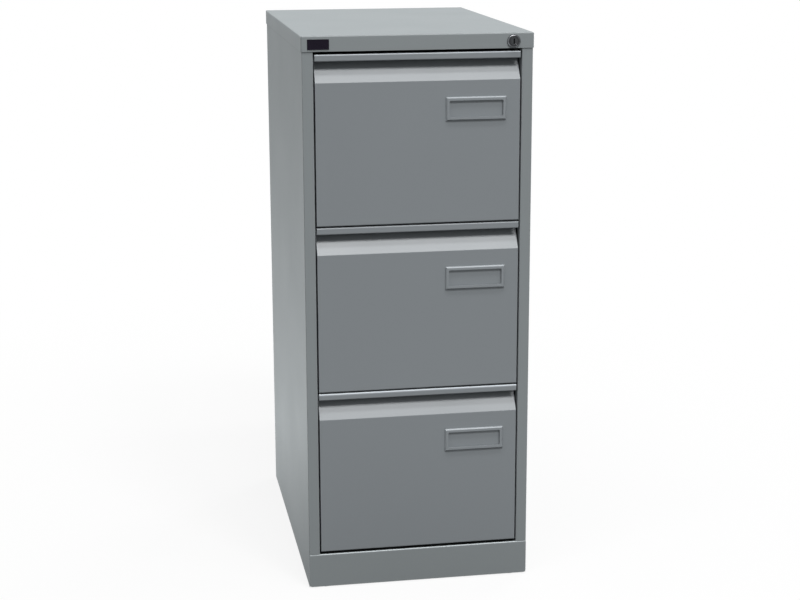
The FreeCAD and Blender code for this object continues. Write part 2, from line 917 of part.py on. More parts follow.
def make_card_holder(number):
    """A bevelled frame on the face, open behind at its right end for a card, held by two studs."""
    body = new_body(f"CardHolder{number}")
    low = card_middle(number) - s.card_height / 2
    high = card_middle(number) + s.card_height / 2
    front = body_front - s.card_proud
    frame = box_corners((card_left, card_right), (low, high))
    solid = pad(body, "y", frame, (front, body_front))
    bevelled = [f"Edge{index}" for index, edge in enumerate(solid.Shape.Edges, 1)
                if edge.BoundBox.YMax < front.value + TINY]
    bevel = body.newObject("PartDesign::Chamfer", f"CardBevel{number}")
    bevel.Base = (solid, bevelled)
    bind(bevel, Size=s.card_bevel)
    doc.recompute()
    window_x = (card_left + s.card_side_bar, card_right - s.card_side_bar)
    window_z = (low + s.card_cross_bar, high - s.card_cross_bar)
    pocket(body, "y", box_corners(window_x, window_z), (front, body_front))
    corners = []
    for x in window_x:
        for z in window_z:
            corners += edges_along(body.Tip.Shape, "y", x=x, z=z)
    round_edges(body, s.window_corner, corners)
    slot_z = (window_z[0] - s.card_margin, window_z[1] + s.card_margin)
    slot = box_corners((window_x[0] - s.card_margin, card_right), slot_z)
    pocket(body, "y", slot, (body_front - s.card_slot, body_front))
    for place in stud_places(number):
        sketch = new_sketch(body, "y", body_front + s.stud_length)
        draw_circle(sketch, place, s.stud_radius)
        stud = body.newObject("PartDesign::Pad", f"CardStud{number}")
        stud.Profile = sketch
        bind(stud, Length=s.stud_length + s.card_slot)
        doc.recompute()
    keep(body, f"drawer_{number}_card_holder")


def make_catch(number):
    """An angle on the tray's right side; the lock hook rises in front of its lug."""
    body = new_body(f"Catch{number}")
    lug_back = catch_front + s.catch_sheet
    outline = [
        (tray_x, catch_front),
        (tray_x + s.catch_reach, catch_front),
        (tray_x + s.catch_reach, lug_back),
        (tray_x + s.catch_sheet, lug_back),
        (tray_x + s.catch_sheet, catch_front + s.catch_foot),
        (tray_x, catch_front + s.catch_foot),
    ]
    pad(body, "z", outline, (catch_z(number), catch_z(number) + s.catch_height))
    keep(body, f"drawer_{number}_catch")


def turned(name, profile):
    """A solid turned about the lock's axis; the profile is in radius and depth."""
    body = new_body(name)
    sketch = new_sketch(body, "z", Size.of(0))
    draw_outline(sketch, profile)
    feature = body.newObject("PartDesign::Revolution", f"{name}_turn")
    feature.Profile = sketch
    feature.ReferenceAxis = (origin_feature(body, "Y_Axis"), [""])
    feature.Angle = FULL_TURN
    bind(body, Placement__Base__x=lock_x, Placement__Base__z=lock_z)
    doc.recompute()
    return body


def make_lock_cylinder():
    front = cap_front - s.lock_proud
    bore = s.plug_radius + s.plug_fit
    rim_step = s.lock_bevel * ARC_MIDDLE
    housing = turned("LockHousing", [
        (bore, front),
        (s.lock_radius - s.lock_bevel, front),
        (s.lock_radius - rim_step, front + rim_step),
        (s.lock_radius, front + s.lock_bevel),
        (s.lock_radius, cap_front),
        (s.lock_body, cap_front),
        (s.lock_body, lock_back),
        (bore, lock_back),
    ])
    keep(housing, "lock_housing")

    face = front + s.plug_recess
    barrel = turned("LockBarrel", [
        (0, face),
        (s.plug_radius, face),
        (s.plug_radius, cam_front),
        (s.tail_radius, cam_front),
        (s.tail_radius, cam_back),
        (s.screw_radius + s.tail_fit, cam_back),
        (s.screw_radius + s.tail_fit, cam_back - s.screw_length),
        (0, cam_back - s.screw_length),
    ])
    slot = box_corners((-s.key_width / 2, s.key_width / 2), (-s.key_height / 2, s.key_height / 2))
    pocket(barrel, "y", slot, (face, face + s.key_depth))
    keep(barrel, "lock_barrel")


def make_lock_nut():
    """A six-sided nut behind the cap's skirt."""
    nut = doc.addObject("Part::Prism", "NutBlank")
    nut.Polygon = NUT_SIDES
    nut.Placement.Rotation = FreeCAD.Rotation(FreeCAD.Vector(1, 0, 0), -90)
    back = cap_front + s.case_sheet
    bind(nut, Circumradius=nut_radius, Height=s.nut_thickness)
    bind(nut, Placement__Base__x=lock_x, Placement__Base__y=back, Placement__Base__z=lock_z)
    bore = rod("NutBore", "y", s.lock_body + s.nut_fit, (lock_x, lock_z), (back, back + s.nut_thickness))
    keep(less("LockNut", nut, bore), "lock_nut")


def make_lock_cam():
    """A crank on the barrel's tail; its pin points down to the left while the drawers are free."""
    axis = (Size.of(0), Size.of(0))
    hub = rod("CamHub", "y", s.cam_hub, axis, (cam_front, cam_back))
    end = rod("CamEnd", "y", s.cam_end, (s.crank, Size.of(0)), (cam_front, cam_back))
    web = block("CamWeb", (Size.of(0), s.crank), (cam_front, cam_back), (-s.cam_end, s.cam_end))
    pin_back = bar_back + s.pin_reach
    crank_pin = rod("CamPin", "y", s.pin_radius, (s.crank, Size.of(0)), (cam_front, pin_back))
    blank = joined("CamBlank", [hub, end, web, crank_pin])
    hole = rod("CamHole", "y", s.tail_radius + s.tail_fit, axis, (cam_front, cam_back))
    cam = less("LockCam", blank, hole)
    cam.Placement.Rotation = FreeCAD.Rotation(FreeCAD.Vector(0, 1, 0), FREE_ANGLE)
    bind(cam, Placement__Base__x=lock_x, Placement__Base__z=lock_z)
    keep(cam, "lock_cam")


def make_cam_screw():
    axis = (lock_x, lock_z)
    head = rod("ScrewHead", "y", s.screw_head, axis, (cam_back, cam_back + s.screw_head_height))
    shank = rod("ScrewShank", "y", s.screw_radius, axis, (cam_back - s.screw_length, cam_back))
    keep(joined("CamScrew", [head, shank]), "cam_screw")


def make_lock_bar():
    """A flat bar behind the right stile, with an arm across to the crank pin at its top."""
    body = new_body("LockBar")
    slot_z = lock_z - crank_step
    slot_half = s.pin_radius + s.pin_fit
    slot_left = lock_x - s.crank - slot_half
    slot_right = lock_x - crank_step + slot_half
    arm_half = slot_half + s.arm_margin
    arm_left = slot_left - s.arm_margin
    low = guide_top(DRAWERS) - s.guide_height - s.bar_tail
    outline = [
        (bar_left, low),
        (bar_right, low),
        (bar_right, slot_z + arm_half),
        (arm_left, slot_z + arm_half),
        (arm_left, slot_z - arm_half),
        (bar_left, slot_z - arm_half),
    ]
    pad(body, "y", outline, (bar_front, bar_back))
    slot = box_corners((slot_left, slot_right), (slot_z - slot_half, slot_z + slot_half))
    pocket(body, "y", slot, (bar_front, bar_back))
    keep(body, "lock_bar")


def make_lock_hooks():
    """A plate on the back of the bar for each drawer."""
    hooks = []
    left = tray_x + s.catch_reach - s.hook_bite
    for number in range(1, DRAWERS + 1):
        height = (hook_top(number) - s.hook_height, hook_top(number))
        hooks.append(block(f"Hook{number}", (left, bar_right), (bar_back, hook_back), height))
    keep(group("LockHooks", hooks), "lock_hooks")


def make_bar_guides():
    """Plastic blocks on the right side panel that the bar slides through."""
    guides = []
    for number in range(1, DRAWERS + 1):
        height = (guide_top(number) - s.guide_height, guide_top(number))
        left = bar_left - s.guide_fit - s.guide_wall
        front = bar_front - s.guide_fit - s.guide_wall
        back = bar_back + s.guide_fit + s.guide_wall
        blank = block(f"GuideBlank{number}", (left, inner_x), (front, back), height)
        way = block(
            f"GuideWay{number}",
            (bar_left - s.guide_fit, bar_right + s.guide_fit),
            (bar_front - s.guide_fit, bar_back + s.guide_fit),
            height,
        )
        guides.append(less(f"Guide{number}", blank, way))
    keep(group("BarGuides", guides), "lock_bar_guides")


def make_case():
    make_top_panel()
    for name, side in SIDES.items():
        make_side_panel(name, side)
    make_back_panel()
    make_base_panel()
    make_plinth()
    make_floor_glides()
    make_uprights()


def make_lock():
    make_lock_cylinder()
    make_lock_nut()
    make_lock_cam()
    make_cam_screw()
    make_lock_bar()
    make_lock_hooks()
    make_bar_guides()


def make_drawer(number):
    make_drawer_front(number)
    make_liner(number)
    make_tray(number)
    make_tray_back(number)
    make_card_holder(number)
    make_catch(number)
    make_rails(number)
    make_cages(number)


def check_and_write():
    """Stop on any failed feature or bad shape, then write each sub-part to its own file."""
    doc.recompute()
    for thing in doc.Objects:
        if {"Invalid", "Error"} & set(thing.State):
            raise RuntimeError(f"{thing.Name} failed: {thing.State}")
    for node in nodes:
        if node.Shape.isNull() or not node.Shape.isValid() or not node.Shape.Solids:
            raise RuntimeError(f"{node.Label} has a bad shape")
    os.makedirs("parts", exist_ok=True)
    for node in nodes:
        node.Shape.exportStep(f"parts/{node.Label}.step")


make_case()
make_lock()
for drawer in range(1, DRAWERS + 1):
    make_drawer(drawer)
check_and_write()
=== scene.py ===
"""Looks of a three-drawer vertical filing cabinet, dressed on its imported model. Metres, +Z up."""
import logging
import math
from collections.abc import Iterable, Mapping, Sequence
from dataclasses import dataclass, field
from enum import Enum
from typing import Any

import bmesh
import bpy
from mathutils import Matrix, Vector


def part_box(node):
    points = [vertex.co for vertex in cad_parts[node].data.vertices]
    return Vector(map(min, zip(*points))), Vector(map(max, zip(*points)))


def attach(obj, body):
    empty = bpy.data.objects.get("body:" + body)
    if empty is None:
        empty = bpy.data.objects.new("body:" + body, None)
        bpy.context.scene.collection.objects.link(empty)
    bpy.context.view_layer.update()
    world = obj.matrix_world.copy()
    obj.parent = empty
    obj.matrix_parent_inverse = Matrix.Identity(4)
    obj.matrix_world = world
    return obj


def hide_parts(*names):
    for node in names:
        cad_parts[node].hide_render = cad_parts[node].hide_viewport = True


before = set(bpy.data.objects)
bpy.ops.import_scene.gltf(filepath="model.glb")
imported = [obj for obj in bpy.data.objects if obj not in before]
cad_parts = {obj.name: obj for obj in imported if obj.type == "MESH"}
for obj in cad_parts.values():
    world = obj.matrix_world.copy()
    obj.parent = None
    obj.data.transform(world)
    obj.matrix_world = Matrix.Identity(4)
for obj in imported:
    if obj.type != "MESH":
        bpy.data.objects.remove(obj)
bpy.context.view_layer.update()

Pair = tuple[float, float]
Colour = tuple[float, float, float]
Point = tuple[float, float, float]

PICTURE_WIDTH = 800
DRAWER_NUMBERS = (1, 2, 3)
MM = 0.001
FULL_TURN = 2 * math.pi
LEVEL_DEGREES = 90.0
SHARP_ANGLE = math.radians(32)
MERGE_REACH = 1e-6
NOISE_MIDDLE = 0.5
NOISE_ROUGHNESS = 0.55
WHITE: Colour = (1.0, 1.0, 1.0)
ORIGIN: Point = (0.0, 0.0, 0.0)

# A Mix node has inputs and outputs for each kind of value; these are the numbers of those for colours.
MIX_FIRST = 6
MIX_SECOND = 7
MIX_RESULT = 2

logging.basicConfig(level=logging.INFO, format="%(message)s")
log = logging.getLogger("filing_cabinet")


class Side(Enum):
    """The two sides of the cabinet, each with the sign of its X."""

    LEFT = -1
    RIGHT = 1

    @property
    def word(self) -> str:
        """The side's name as the nodes spell it."""
        return self.name.lower()


class Axis(Enum):
    """The three directions of the frame, each with its number in a vector."""

    X = 0
    Y = 1
    Z = 2

    @property
    def unit(self) -> Vector:
        """A step of one along the axis."""
        return Vector([float(axis is self) for axis in Axis])


class Signal:
    """A shader value that takes part in Python arithmetic."""

    def __init__(self, shader: "Shader", socket: bpy.types.NodeSocket) -> None:
        """Hold a socket and the shader it belongs to."""
        self.shader = shader
        self.socket = socket

    def __add__(self, other: "Signal | float") -> "Signal":
        """This plus another value."""
        return self.shader.maths("ADD", self, other)

    def __radd__(self, other: float) -> "Signal":
        """A number plus this."""
        return self.shader.maths("ADD", other, self)

    def __sub__(self, other: "Signal | float") -> "Signal":
        """This less another value."""
        return self.shader.maths("SUBTRACT", self, other)

    def __rsub__(self, other: float) -> "Signal":
        """A number less this."""
        return self.shader.maths("SUBTRACT", other, self)

    def __mul__(self, other: "Signal | float") -> "Signal":
        """This times another value."""
        return self.shader.maths("MULTIPLY", self, other)

    def __rmul__(self, other: float) -> "Signal":
        """A number times this."""
        return self.shader.maths("MULTIPLY", other, self)

    def __truediv__(self, other: "Signal | float") -> "Signal":
        """This divided by another value."""
        return self.shader.maths("DIVIDE", self, other)

    def __rtruediv__(self, other: float) -> "Signal":
        """A number divided by this."""
        return self.shader.maths("DIVIDE", other, self)

    def __mod__(self, other: float) -> "Signal":
        """What is left of this after whole steps of a number."""
        return self.shader.maths("FLOORED_MODULO", self, other)

    def __pow__(self, other: float) -> "Signal":
        """This raised to a power."""
        return self.shader.maths("POWER", self, other)

    def __abs__(self) -> "Signal":
        """This without its sign."""
        return self.shader.maths("ABSOLUTE", self)

    def __gt__(self, other: float) -> "Signal":
        """One where this is above a number, and otherwise nought."""
        return self.shader.maths("GREATER_THAN", self, other)

    def centred(self) -> "Signal":
        """A noise's swing about its middle."""
        return self - NOISE_MIDDLE

    def least(self, other: "Signal | float") -> "Signal":
        """The smaller of this and another value."""
        return self.shader.maths("MINIMUM", self, other)

    def most(self, other: "Signal | float") -> "Signal":
        """The larger of this and another value."""
        return self.shader.maths("MAXIMUM", self, other)

    def fade(self, low: float, high: float) -> "Signal":
        """A smooth rise from nought to one.

        Args:
            low: Where it is nought.
            high: Where it is one; this may be the lower of the two.

        Returns:
            The share of the rise.
        """
        settings = {"interpolation_type": "SMOOTHSTEP"}
        sockets = {"Value": self, "From Min": low, "From Max": high}
        return self.shader.value("ShaderNodeMapRange", settings, sockets, "Result")


class Shader:
    """The node tree of one material or world."""

    def __init__(self, tree: bpy.types.NodeTree) -> None:
        """Start an empty tree."""
        self.tree = tree
        self.tree.nodes.clear()

    def node(
        self,
        kind: str,
        settings: Mapping[str, Any] | None = None,
        sockets: Mapping[str | int, Any] | None = None,
    ) -> bpy.types.Node:
        """Add a node.

        Args:
            kind: Type name of the node.
            settings: Properties, set first.
            sockets: A value, or a Signal or socket to link, for each input.

        Returns:
            The new node.
        """
        node = self.tree.nodes.new(kind)
        for name, setting in (settings or {}).items():
            setattr(node, name, setting)
        for name, given in (sockets or {}).items():
            if isinstance(given, Signal):
                given = given.socket
            if isinstance(given, bpy.types.NodeSocket):
                self.tree.links.new(given, node.inputs[name])
            else:
                node.inputs[name].default_value = given
        return node

    def value(
        self,
        kind: str,
        settings: Mapping[str, Any] | None,
        sockets: Mapping[str | int, Any] | None,
        output: str | int = 0,
    ) -> Signal:
        """Add a node and take one of its outputs.

        Args:
            kind: Type name of the node.
            settings: Properties, set first.
            sockets: Values or links of its inputs.
            output: Name or number of the output.

        Returns:
            The output as a Signal.
        """
        return Signal(self, self.node(kind, settings, sockets).outputs[output])

    def maths(self, operation: str, *terms: "Signal | float") -> Signal:
        """Add one Math node for an operation on values."""
        sockets = dict(enumerate(terms))
        return self.value("ShaderNodeMath", {"operation": operation}, sockets)

    def place(self) -> Signal:
        """Where a point of the surface is, in metres."""
        return self.value("ShaderNodeTexCoord", None, None, "Object")

    def apart(self, spot: Point) -> Signal:
        """How far a point of the surface is from a spot, in metres."""
        ends = {0: self.place(), 1: spot}
        return self.value("ShaderNodeVectorMath", {"operation": "DISTANCE"}, ends, "Value")

    def part(self, vector: Signal, axis: Axis) -> Signal:
        """One part of a vector."""
        return self.value("ShaderNodeSeparateXYZ", None, {0: vector}, axis.value)

    def stretched(self, vector: Signal, scale: Point) -> Signal:
        """A place scaled along each axis."""
        return self.value("ShaderNodeVectorMath", {"operation": "MULTIPLY"}, {0: vector, 1: scale})

    def noise(self, vector: Signal, per_metre: float, detail: float = 2.0) -> Signal:
        """Soft cloudy values about one half.

        Args:
            vector: Where a point is.
            per_metre: How many clouds fit in a metre.
            detail: How many finer layers there are.

        Returns:
            The values.
        """
        shape = {"Scale": per_metre, "Detail": detail, "Roughness": NOISE_ROUGHNESS}
        return self.value("ShaderNodeTexNoise", None, {"Vector": vector, **shape}, "Fac")

    def mixed(self, share: Signal, first: Signal | Colour, second: Colour) -> Signal:
        """A colour between two.

        Args:
            share: How much of the second there is.
            first: Colour at a share of nought.
            second: Colour at a share of one.

        Returns:
            The mixed colour.
        """
        settings = {"data_type": "RGBA"}
        start = first if isinstance(first, Signal) else opaque(first)
        sockets = {"Factor": share, MIX_FIRST: start, MIX_SECOND: opaque(second)}
        return self.value("ShaderNodeMix", settings, sockets, MIX_RESULT)

    def blended(self, share: Signal, first: bpy.types.Node, second: bpy.types.Node) -> bpy.types.Node:
        """A shading between two.

        Args:
            share: How much of the second there is.
            first: Shading at a share of nought.
            second: Shading at a share of one.

        Returns:
            The node that mixes them.
        """
        sockets = {0: share, 1: first.outputs[0], 2: second.outputs[0]}
        return self.node("ShaderNodeMixShader", None, sockets)

    def bump(self, height: Signal, depth: float, strength: float) -> Signal:
        """A normal tilted by a height.

        Args:
            height: Height in units of the depth.
            depth: What a height of one stands for, in metres.
            strength: How much of the tilt shows.

        Returns:
            The normal.
        """
        sockets = {"Strength": strength, "Distance": depth, "Height": height}
        return self.value("ShaderNodeBump", None, sockets, "Normal")

    def surface(self, **sockets: Any) -> None:
        """End the tree in one principled surface.

        Args:
            sockets: Values or links of its inputs; underscores stand for the spaces in their names.
        """
        named = {name.replace("_", " "): given for name, given in sockets.items()}
        shading = self.node("ShaderNodeBsdfPrincipled", None, named)
        self.node("ShaderNodeOutputMaterial", None, {"Surface": shading.outputs[0]})


def new_material(name: str) -> tuple[bpy.types.Material, Shader]:
    """Make a material and start its tree.

    Args:
        name: Name of the material.

    Returns:
        The material and its shader.
    """
    material = bpy.data.materials.new(name)
    material.use_nodes = True
    return material, Shader(material.node_tree)


def tinted(colour: Colour, tone: float) -> Colour:
    """A colour made darker or lighter by one number."""
    return tuple(part * tone for part in colour)


def opaque(colour: Colour) -> tuple[float, float, float, float]:
    """A colour as a node's socket takes it."""
    return *colour, 1.0


def diagonal(first: Signal, second: Signal) -> Signal:
    """Length of the straight line over two steps at a right angle."""
    return (first * first + second * second) ** 0.5


@dataclass(frozen=True)
class RubbedEdge:
    """An upper front edge painted lighter along its bend, a painted highlight; it may repeat up the cabinet.
    """

    level: float
    front: float
    reach: float
    tone: float
    pitch: float = 0.0

    def mask(self, shader: Shader, place: Signal) -> Signal:
        """Show where the edge is.

        Args:
            shader: The tree to add to.
            place: Where a point is.

        Returns:
            One on the edge, and nought away from it.
        """
        up = shader.part(place, Axis.Z) - self.level
        if self.pitch:
            up = (up + self.pitch / 2) % self.pitch - self.pitch / 2
        back = shader.part(place, Axis.Y) - self.front
        return abs(up).fade(self.reach, 0.0) * back.fade(self.reach, 0.0)


@dataclass(frozen=True)
class GapGrime:
    """Painted shade on a flat flange, behind its front edge, where the part above keeps the light out."""

    level: float
    front: float
    start: float
    full: float
    tone: float

    def mask(self, shader: Shader, place: Signal) -> Signal:
        """Show where the painted shade lies.

        Args:
            shader: The tree to add to.
            place: Where a point is.

        Returns:
            One on the shaded flange, and nought elsewhere.
        """
        back = shader.part(place, Axis.Y) - self.front
        down = self.level - shader.part(place, Axis.Z)
        return back.fade(self.start, self.full) * down.fade(self.start, 0.0)


@dataclass(frozen=True)
class SatinPaint:
    """A thin powder coat: satin, with a fine grain, a faint waviness, and marks of painted light: highlights
    along edges and shade in gaps.

    A weld pitch of nought leaves out the spot welds, and a seam level of nought the painted shade line under
    the cap.
    """

    name: str
    colour: Colour = (0.246, 0.269, 0.277)
    roughness: float = 0.37
    grain_per_metre: float = 1500.0
    wave_per_metre: float = 190.0
    cloud_per_metre: float = 5.0
    cloud_detail: float = 4.0
    speckle: float = 0.07
    drift: float = 0.05
    contrast: float = 4.0
    grain_roughness: float = 0.12
    cloud_roughness: float = 0.10
    grain_height: float = 0.35
    wave_height: float = 0.9
    bump_depth: float = 0.12 * MM
    bump_strength: float = 0.35
    weld_pitch: float = 0.0
    weld_line: float = 0.1961
    weld_back: float = 0.3
    weld_radius: float = 3.2 * MM
    weld_core: float = 0.4
    weld_depth: float = 3.0
    seam_level: float = 0.0
    seam_depth: float = 4.0 * MM
    seam_dirt: float = 1.6
    marks: tuple[RubbedEdge | GapGrime, ...] = ()

    def make(self) -> bpy.types.Material:
        """Make the material.

        Returns:
            The painted surface.
        """
        material, shader = new_material(self.name)
        place = shader.place()
        grain = shader.noise(place, self.grain_per_metre)
        wave = shader.noise(place, self.wave_per_metre)
        cloud = shader.noise(place, self.cloud_per_metre, self.cloud_detail)
        specks = grain.centred() * (self.speckle * self.contrast)
        patches = cloud.centred() * (self.drift * self.contrast)
        share = NOISE_MIDDLE + specks + patches
        if self.seam_level:
            # painted shade: the paint is darkened in a thin line under the cap's edge
            share = share - self.seam(shader, place) * self.seam_dirt
        spread = self.speckle + self.drift
        colour = shader.mixed(share, tinted(self.colour, 1 - spread), tinted(self.colour, 1 + spread))
        # the marks paint highlights along edges and shade in gaps into the colour
        for mark in self.marks:
            colour = shader.mixed(mark.mask(shader, place), colour, tinted(self.colour, mark.tone))
        height = grain * self.grain_height + wave * self.wave_height
        if self.weld_pitch:
            height = height - self.weld_marks(shader, place) * self.weld_depth
        unevenness = grain.centred() * self.grain_roughness + cloud.centred() * self.cloud_roughness
        shader.surface(
            Base_Color=colour,
            Roughness=self.roughness + unevenness,
            Normal=shader.bump(height, self.bump_depth, self.bump_strength),
        )
        return material

    def seam(self, shader: Shader, place: Signal) -> Signal:
        """A thin line of painted shade close under the cap, where its edge shadows the panel below.

        Args:
            shader: The tree to add to.
            place: Where a point is.

        Returns:
            One at the cap's edge, and nought below the line.
        """
        down = self.seam_level - shader.part(place, Axis.Z)
        return down.fade(self.seam_depth, 0.0)

    def weld_marks(self, shader: Shader, place: Signal) -> Signal:
        """Shallow round marks of spot welds down the flange behind each side.

        Args:
            shader: The tree to add to.
            place: Where a point is.

        Returns:
            One in the middle of a mark, and nought away from it.
        """
        across = abs(shader.part(place, Axis.X)) - self.weld_line
        up = shader.part(place, Axis.Z) % self.weld_pitch - self.weld_pitch / 2
        behind = shader.part(place, Axis.Y) > self.weld_back
        return diagonal(across, up).fade(self.weld_radius, self.weld_radius * self.weld_core) * behind


@dataclass(frozen=True)
class BrightZinc:
    """Rolled strip with bright zinc plate, drawn along one axis."""

    name: str
    along: Axis
    colour: Colour = (0.60, 0.61, 0.63)
    warm: Colour = (0.62, 0.60, 0.55)
    warm_range: Pair = (0.35, 0.75)
    roughness: float = 0.27
    streaks_per_metre: float = 900.0
    stretch: float = 0.02
    streak_roughness: float = 0.16
    cloud_per_metre: float = 28.0
    cloud_roughness: float = 0.16
    detail: float = 3.0
    bump_depth: float = 0.04 * MM
    bump_strength: float = 0.4

    def make(self) -> bpy.types.Material:
        """Make the material.

        Returns:
            The plated surface.
        """
        material, shader = new_material(self.name)
        place = shader.place()
        scale = tuple(self.stretch if axis is self.along else 1.0 for axis in Axis)
        streaks = shader.noise(shader.stretched(place, scale), self.streaks_per_metre, self.detail)
        cloud = shader.noise(place, self.cloud_per_metre, self.detail)
        unevenness = streaks * self.streak_roughness + cloud.centred() * self.cloud_roughness
        shader.surface(
            Base_Color=shader.mixed(cloud.fade(*self.warm_range), self.colour, self.warm),
            Metallic=1.0,
            Roughness=self.roughness + unevenness,
            Normal=shader.bump(streaks, self.bump_depth, self.bump_strength),
        )
        return material


@dataclass(frozen=True)
class TurnedMetal:
    """Plated metal turned about the lock's axis, with fine rings and perhaps a bright rim."""

    name: str
    colour: Colour
    centre: Pair
    roughness: float
    rings_per_metre: float = 5200.0
    ring_tones: Pair = (0.86, 1.12)
    ring_roughness: float = 0.10
    cloud_per_metre: float = 260.0
    cloud_roughness: float = 0.12
    rim_radius: float = 0.0
    rim_fade: float = 0.3 * MM
    rim_tone: float = 2.6
    rim_rings: float = 0.15
    bump_depth: float = 0.03 * MM
    bump_strength: float = 0.5

    def make(self) -> bpy.types.Material:
        """Make the material.

        Returns:
            The turned surface.
        """
        material, shader = new_material(self.name)
        place = shader.place()
        across = shader.part(place, Axis.X) - self.centre[0]
        up = shader.part(place, Axis.Z) - self.centre[1]
        radius = diagonal(across, up)
        rings = shader.value(
            "ShaderNodeTexNoise",
            {"noise_dimensions": "1D"},
            {"W": radius, "Scale": self.rings_per_metre, "Detail": 1.0},
            "Fac",
        )
        cloud = shader.noise(place, self.cloud_per_metre)
        low, high = (tinted(self.colour, tone) for tone in self.ring_tones)
        share = rings
        if self.rim_radius:
            high = tinted(self.colour, self.rim_tone)
            rim = radius.fade(self.rim_radius, self.rim_radius + self.rim_fade)
            share = rings * self.rim_rings + rim
        unevenness = rings.centred() * self.ring_roughness + cloud.centred() * self.cloud_roughness
        shader.surface(
            Base_Color=shader.mixed(share, low, high),
            Metallic=1.0,
            Roughness=self.roughness + unevenness,
            Normal=shader.bump(rings, self.bump_depth, self.bump_strength),
        )
        return material


@dataclass(frozen=True)
class MouldedPlastic:
    """Moulded plastic with a fine spark-eroded grain."""

    name: str
    colour: Colour
    roughness: float
    gloss: float = 0.5
    grain_per_metre: float = 2200.0
    grain_roughness: float = 0.2
    cloud_per_metre: float = 60.0
    cloud_detail: float = 3.0
    cloud_tones: Pair = (0.88, 1.12)
    bump_depth: float = 0.06 * MM
    bump_strength: float = 0.5

    def make(self) -> bpy.types.Material:
        """Make the material.

        Returns:
            The moulded surface.
        """
        material, shader = new_material(self.name)
        place = shader.place()
        grain = shader.noise(place, self.grain_per_metre)
        cloud = shader.noise(place, self.cloud_per_metre, self.cloud_detail)
        low, high = (tinted(self.colour, tone) for tone in self.cloud_tones)
        shader.surface(
            Base_Color=shader.mixed(cloud, low, high),
            Roughness=self.roughness + grain.centred() * self.grain_roughness,
            Normal=shader.bump(grain, self.bump_depth, self.bump_strength),
            Specular_IOR_Level=self.gloss,
        )
        return material


def front_edge(name: str) -> Pair:
    """Y and Z of a node's upper front edge."""
    low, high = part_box(name)
    return low.y, high.z


@dataclass(frozen=True)
class LipWear:
    """How far and how light the painted highlight runs along one drawer's lip."""

    drawer: int
    reach: float
    tone: float


class FinishBook:
    """Every finish of the cabinet, each made once."""

    drawer_colour: Colour = (0.236, 0.256, 0.271)
    # painted light: the card holders' paint is a lighter copy of the drawers', for the extra light their
    # faces catch
    holder_tone: float = 1.08
    # painted highlights along each drawer's lip, lightest on the first and third drawer
    lip_wear: tuple[LipWear, ...] = (
        LipWear(drawer=1, reach=2.8 * MM, tone=2.6),
        LipWear(drawer=2, reach=2.6 * MM, tone=1.2),
        LipWear(drawer=3, reach=4.4 * MM, tone=2.8),
    )

    def __init__(self, lock_centre: Pair, cap_edge: float) -> None:
        """Make the materials.

        Args:
            lock_centre: X and Z that the lock's rings run about.
            cap_edge: Z of the cap's lower edge.
        """
        self.case_paint = SatinPaint("case_paint").make()
        # the side panels' paint carries a painted shade line under the cap's edge
        self.welded_paint = SatinPaint("welded_side_paint", weld_pitch=0.085, seam_level=cap_edge).make()
        self.plinth_paint = self.worn_plinth()
        self.drawer_paint = SatinPaint("drawer_paint", colour=self.drawer_colour).make()
        self.front_paint = {lip_light.drawer: self.worn_front(lip_light) for lip_light in self.lip_wear}
        self.holder_paint = self.worn_holder()
        self.rail_zinc = BrightZinc("rail_zinc", along=Axis.Y).make()
        self.bar_zinc = BrightZinc("bar_zinc", along=Axis.Z).make()
        self.lock_nickel = TurnedMetal(
            "black_nickel",
            colour=(0.062, 0.062, 0.065),
            centre=lock_centre,
            roughness=0.12,
            rim_radius=9.8 * MM,
        ).make()
        self.plug_black = TurnedMetal(
            "black_plug", colour=(0.075, 0.075, 0.078), centre=lock_centre, roughness=0.26
        ).make()
        self.glide_plastic = MouldedPlastic(
            "glide_plastic", colour=(0.035, 0.035, 0.038), roughness=0.55
        ).make()
        self.guide_nylon = MouldedPlastic("guide_nylon", colour=(0.78, 0.78, 0.73), roughness=0.42).make()
        self.badge_plastic = MouldedPlastic(
            "badge_plastic", colour=(0.010, 0.007, 0.015), roughness=0.30, gloss=0.10
        ).make()

    @staticmethod
    def worn_plinth() -> bpy.types.Material:
        """Make paint with a painted highlight along the plinth's upper edge, and painted shade on the flange
        in the gap behind it.

        Returns:
            The plinth's paint.
        """
        front, top = front_edge("plinth")
        gap_shade = GapGrime(level=top, front=front, start=1.6 * MM, full=3.0 * MM, tone=0.12)
        edge = RubbedEdge(level=top, front=front, reach=2.6 * MM, tone=2.4)
        return SatinPaint("plinth_paint", marks=(gap_shade, edge)).make()

    def worn_front(self, lip_light: LipWear) -> bpy.types.Material:
        """Make paint with a painted highlight along a drawer's lip.

        Args:
            lip_light: The drawer, and how wide and how light its lip's painted highlight is.

        Returns:
            The front's paint.
        """
        front, top = front_edge(f"drawer_{lip_light.drawer}_front")
        edge = RubbedEdge(level=top, front=front, reach=lip_light.reach, tone=lip_light.tone)
        name = f"drawer_{lip_light.drawer}_front_paint"
        return SatinPaint(name, colour=self.drawer_colour, marks=(edge,)).make()

    def worn_holder(self) -> bpy.types.Material:
        """Make a lighter copy of the drawer paint for the card holders, as painted light, with a painted
        highlight along the upper edge of every holder.

        Returns:
            The card holders' paint.
        """
        front, top = front_edge("drawer_1_card_holder")
        pitch = top - front_edge("drawer_2_card_holder")[1]
        edge = RubbedEdge(level=top, front=front, reach=3.4 * MM, tone=1.7, pitch=pitch)
        colour = tinted(self.drawer_colour, self.holder_tone)
        return SatinPaint("card_holder_paint", colour=colour, roughness=0.36, marks=(edge,)).make()


def dress(material: bpy.types.Material, names: Iterable[str]) -> None:
    """Give CAD nodes a material.

    Args:
        material: The finish.
        names: Names of the nodes.
    """
    for name in names:
        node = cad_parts[name]
        node.material_slots[0].material = material
        log.info("dressed %s in %s", name, material.name)


